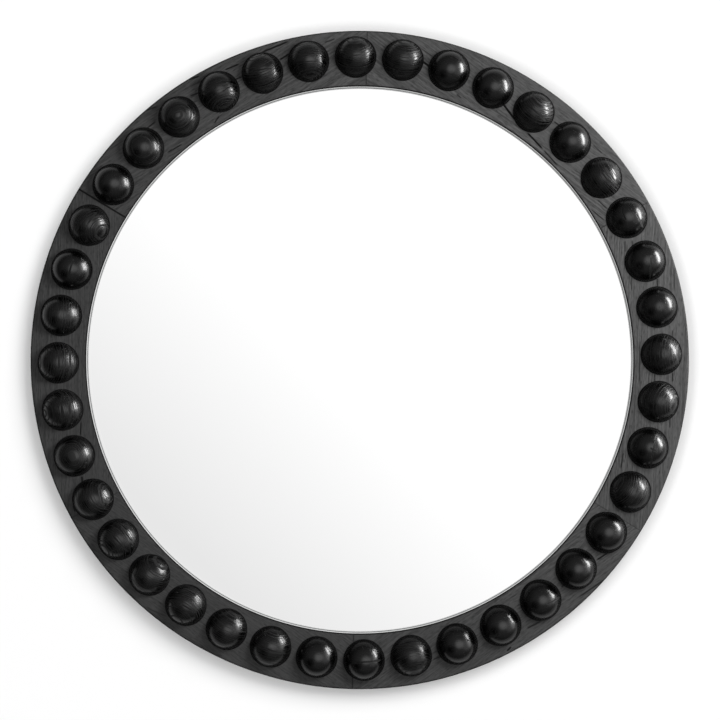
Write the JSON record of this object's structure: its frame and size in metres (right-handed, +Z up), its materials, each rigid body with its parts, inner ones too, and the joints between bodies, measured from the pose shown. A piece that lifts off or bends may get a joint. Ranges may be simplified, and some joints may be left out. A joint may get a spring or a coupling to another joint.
{
  "type": "round mirror",
  "caption": "Round wall mirror in a flat black-stained wooden ring set with a circle of turned half-balls, hung by two loose rings on the back.",
  "frame": {"origin": "centre of the back panel's rear face, which is flush with the back of the wooden ring", "axes": "+Y out of the back, towards the wall; -Y out of the mirror, towards the viewer; +Z up; +X to the right of a viewer in front"},
  "size_m": [0.914, 0.065, 0.914],
  "materials": {
    "stained_ring": "black stain under satin lacquer, open grain",
    "stained_ball": "black stain under semi-gloss lacquer, turned",
    "dowel": "plain beech",
    "mirror": "silvered float glass with a ground edge",
    "felt": "pressed felt",
    "hardboard": "bare medium-density fibreboard",
    "rubber": "matt moulded rubber",
    "hanger_steel": "bright zinc plate",
    "ring_steel": "bright nickel plate",
    "zinc_screw": "yellow zinc plate"
  },
  "bodies": {
    "mirror": {"ring_segment_1": "stained_ring", "ring_segment_2": "stained_ring", "ring_segment_3": "stained_ring", "ring_segment_4": "stained_ring", "ring_segment_5": "stained_ring", "ring_segment_6": "stained_ring", "half_ball_01": "stained_ball", "half_ball_02": "stained_ball", "half_ball_03": "stained_ball", "half_ball_04": "stained_ball", "half_ball_05": "stained_ball", "half_ball_06": "stained_ball", "half_ball_07": "stained_ball", "half_ball_08": "stained_ball", "half_ball_09": "stained_ball", "half_ball_10": "stained_ball", "half_ball_11": "stained_ball", "half_ball_12": "stained_ball", "half_ball_13": "stained_ball", "half_ball_14": "stained_ball", "half_ball_15": "stained_ball", "half_ball_16": "stained_ball", "half_ball_17": "stained_ball", "half_ball_18": "stained_ball", "half_ball_19": "stained_ball", "half_ball_20": "stained_ball", "half_ball_21": "stained_ball", "half_ball_22": "stained_ball", "half_ball_23": "stained_ball", "half_ball_24": "stained_ball", "half_ball_25": "stained_ball", "half_ball_26": "stained_ball", "half_ball_27": "stained_ball", "half_ball_28": "stained_ball", "half_ball_29": "stained_ball", "half_ball_30": "stained_ball", "half_ball_31": "stained_ball", "half_ball_32": "stained_ball", "half_ball_33": "stained_ball", "half_ball_34": "stained_ball", "half_ball_35": "stained_ball", "half_ball_36": "stained_ball", "half_ball_37": "stained_ball", "half_ball_38": "stained_ball", "half_ball_39": "stained_ball", "half_ball_40": "stained_ball", "segment_dowels": "dowel", "ball_screws": "zinc_screw", "mirror_glass": "mirror", "setting_blocks": "rubber", "felt_sheet": "felt", "back_panel": "hardboard", "panel_screws": "zinc_screw", "hanger_strap_left": "hanger_steel", "hanger_strap_right": "hanger_steel", "hanger_screws": "zinc_screw", "wall_bumpers": "rubber"},
    "left_ring": {"d_ring_left": "ring_steel"},
    "right_ring": {"d_ring_right": "ring_steel"}
  },
  "joints": [
    {"name": "left_ring_swing", "type": "hinge", "parent": "mirror", "child": "left_ring", "pos_m": [-0.39611, 0.0026, 0.18208], "axis": [1, 0, 0], "range_deg": [0, 180]},
    {"name": "right_ring_swing", "type": "hinge", "parent": "mirror", "child": "right_ring", "pos_m": [0.39611, 0.0026, 0.18208], "axis": [1, 0, 0], "range_deg": [0, 180]}
  ]
}
